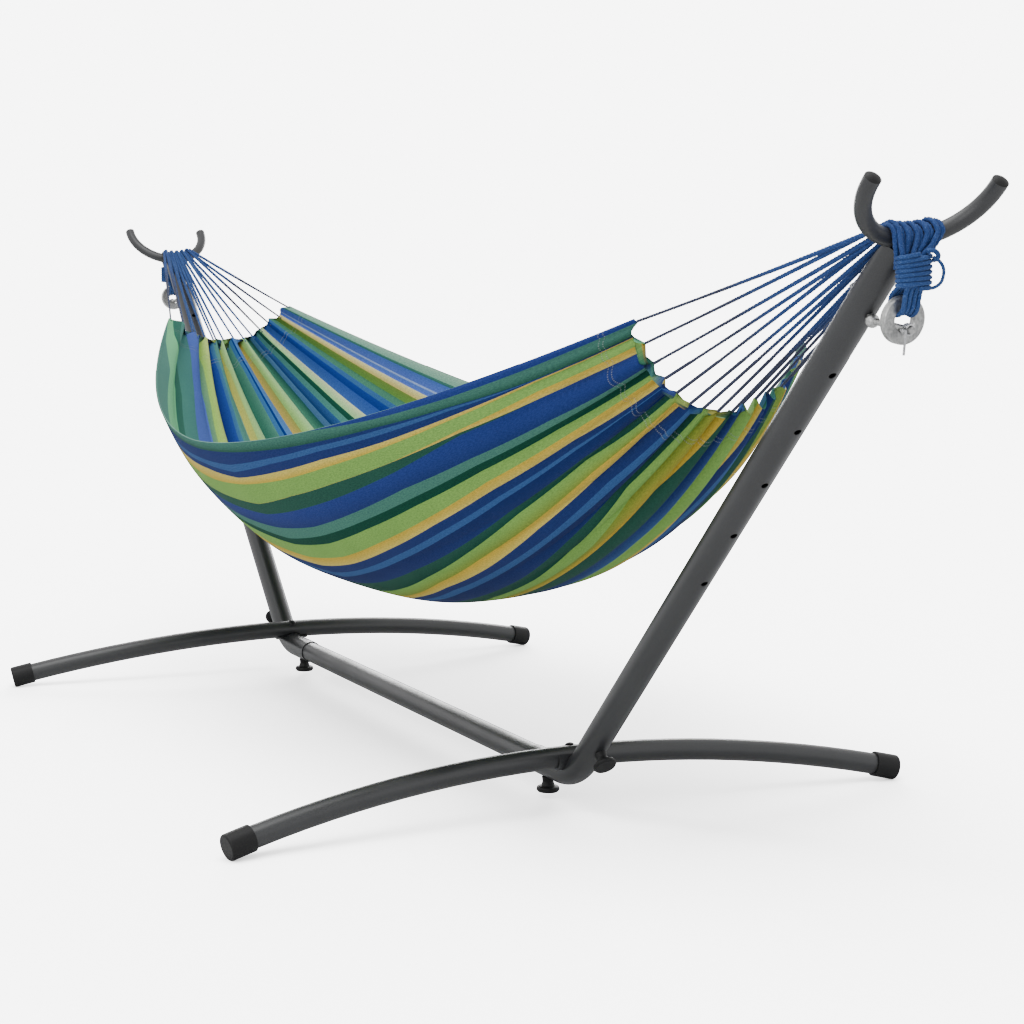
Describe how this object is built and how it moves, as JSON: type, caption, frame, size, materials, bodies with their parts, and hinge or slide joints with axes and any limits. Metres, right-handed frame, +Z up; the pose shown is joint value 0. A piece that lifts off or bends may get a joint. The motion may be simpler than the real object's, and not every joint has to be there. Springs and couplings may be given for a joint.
{
  "type": "hammock on stand",
  "caption": "Striped cotton hammock hung from the horn hooks of a free-standing steel stand with arched feet.",
  "frame": {"origin": "on the floor under the middle of the stand, which is the centre of the bottom of its box", "axes": "+X along the beam and the hammock towards the near end, +Y across it towards the back, +Z up"},
  "size_m": [2.9458, 1.1058, 0.8954],
  "materials": {
    "grey_steel": "satin charcoal powder coat",
    "black_plastic": "moulded matt black",
    "black_bolt": "black oxide",
    "zinc": "zinc plated",
    "rope": "twisted cotton rope",
    "striped_cloth": "striped woven cotton canvas",
    "hem_cloth": "folded and stitched canvas",
    "band_cloth": "doubled and stitched canvas"
  },
  "bodies": {
    "stand": {"centre_beam": "grey_steel", "near_elbow": "grey_steel", "far_elbow": "grey_steel", "near_post": "grey_steel", "far_post": "grey_steel", "near_horn": "grey_steel", "far_horn": "grey_steel", "near_horn_plug_front": "black_plastic", "near_horn_plug_back": "black_plastic", "far_horn_plug_front": "black_plastic", "far_horn_plug_back": "black_plastic", "near_foot": "grey_steel", "far_foot": "grey_steel", "near_foot_cap_front": "black_plastic", "near_foot_cap_back": "black_plastic", "far_foot_cap_front": "black_plastic", "far_foot_cap_back": "black_plastic", "near_saddle": "grey_steel", "far_saddle": "grey_steel", "foot_bolts": "black_bolt", "saddle_nuts": "zinc", "near_anchor_pin": "zinc", "far_anchor_pin": "zinc", "near_bar_wrap": "rope", "far_bar_wrap": "rope", "near_rope_drop": "rope", "far_rope_drop": "rope", "near_whipping": "rope", "far_whipping": "rope", "near_rope_eye": "rope", "far_rope_eye": "rope"},
    "bed": {"bed_panel_1": "striped_cloth", "bed_panel_2": "striped_cloth", "bed_panel_3": "striped_cloth", "bed_panel_4": "striped_cloth", "bed_panel_5": "striped_cloth", "bed_panel_6": "striped_cloth", "bed_panel_7": "striped_cloth", "bed_panel_8": "striped_cloth", "bed_panel_9": "striped_cloth", "bed_panel_10": "striped_cloth", "front_hem": "hem_cloth", "back_hem": "hem_cloth", "near_end_band": "band_cloth", "far_end_band": "band_cloth", "near_cords": "rope", "far_cords": "rope", "near_gather": "rope", "far_gather": "rope"},
    "near_ring": {"near_ring": "zinc"},
    "near_clip": {"near_safety_clip": "zinc"},
    "near_beam_screw": {"near_beam_knob": "black_plastic"},
    "near_post_screw": {"near_post_knob": "black_plastic"},
    "far_ring": {"far_ring": "zinc"},
    "far_clip": {"far_safety_clip": "zinc"},
    "far_beam_screw": {"far_beam_knob": "black_plastic"},
    "far_post_screw": {"far_post_knob": "black_plastic"}
  },
  "joints": [
    {"name": "bed_swing", "type": "hinge", "parent": "stand", "child": "bed", "pos_m": [0, 0, 0.838], "axis": [1, 0, 0], "range_deg": [-20, 20]},
    {"name": "near_ring_spin", "type": "hinge", "parent": "stand", "child": "near_ring", "pos_m": [1.40809, 0, 0.73723], "axis": [0.9925, 0, -0.1219], "continuous": true},
    {"name": "near_clip_swing", "type": "hinge", "parent": "stand", "child": "near_clip", "pos_m": [1.407, 0, 0.72835], "axis": [0.9925, 0, -0.1219], "range_deg": [-70, 70]},
    {"name": "near_beam_screw_turn", "type": "hinge", "parent": "stand", "child": "near_beam_screw", "pos_m": [0.54, 0, 0.0525], "axis": [0, 0, -1], "continuous": true},
    {"name": "near_post_screw_turn", "type": "hinge", "parent": "stand", "child": "near_post_screw", "pos_m": [0.69364, 0, 0.11614], "axis": [0.7071, 0, -0.7071], "continuous": true},
    {"name": "far_ring_spin", "type": "hinge", "parent": "stand", "child": "far_ring", "pos_m": [-1.40809, 0, 0.73723], "axis": [-0.9925, 0, -0.1219], "continuous": true},
    {"name": "far_clip_swing", "type": "hinge", "parent": "stand", "child": "far_clip", "pos_m": [-1.407, 0, 0.72835], "axis": [-0.9925, 0, -0.1219], "range_deg": [-70, 70]},
    {"name": "far_beam_screw_turn", "type": "hinge", "parent": "stand", "child": "far_beam_screw", "pos_m": [-0.54, 0, 0.0525], "axis": [0, 0, -1], "continuous": true},
    {"name": "far_post_screw_turn", "type": "hinge", "parent": "stand", "child": "far_post_screw", "pos_m": [-0.69364, 0, 0.11614], "axis": [-0.7071, 0, -0.7071], "continuous": true}
  ]
}
